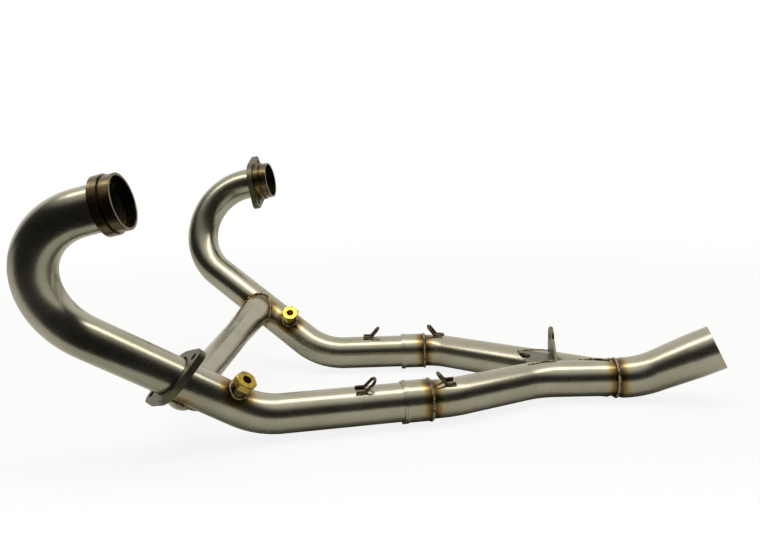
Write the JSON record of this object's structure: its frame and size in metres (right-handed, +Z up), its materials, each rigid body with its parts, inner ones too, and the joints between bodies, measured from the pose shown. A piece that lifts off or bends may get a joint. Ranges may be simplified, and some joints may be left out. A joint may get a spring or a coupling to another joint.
{
  "type": "decat pipe",
  "caption": "Two bent steel header tubes with a crossover, plugged into a two-into-one collector with a bracket and an open outlet, for a motorbike exhaust.",
  "frame": {"origin": "middle of the whole part's box, on the surface that it lies on", "axes": "+X rearward toward the outlet, +Y toward the right-hand header, +Z up toward the ports"},
  "size_m": [0.764, 0.553, 0.3133],
  "materials": {
    "satin_steel": "satin stainless tube with straw and violet heat tints beside each weld",
    "port_steel": "turned stainless with dark straw heat tint",
    "flange_steel": "flat stainless plate, cut and lightly blasted",
    "tinted_steel": "welded steel with brown and gold heat tint",
    "plated_plug": "yellow-passivated zinc plate on a turned hexagon"
  },
  "bodies": {
    "root": {"left_header": "satin_steel", "right_header": "satin_steel", "left_port_collar": "port_steel", "right_port_collar": "port_steel", "left_port_flange": "flange_steel", "right_port_flange": "flange_steel", "left_sensor_boss": "tinted_steel", "right_sensor_boss": "tinted_steel", "left_sensor_plug": "plated_plug", "right_sensor_plug": "plated_plug", "left_slip_socket": "satin_steel", "right_slip_socket": "satin_steel", "left_front_hook": "tinted_steel", "right_front_hook": "tinted_steel", "left_rear_hook": "tinted_steel", "right_rear_hook": "tinted_steel", "crossover_cone": "satin_steel", "crossover_tube": "satin_steel", "crossover_elbow": "satin_steel", "left_branch": "satin_steel", "right_branch": "satin_steel", "mount_bracket": "satin_steel", "outlet_reducer": "satin_steel", "outlet_pipe": "satin_steel", "outlet_socket": "satin_steel"}
  },
  "joints": []
}
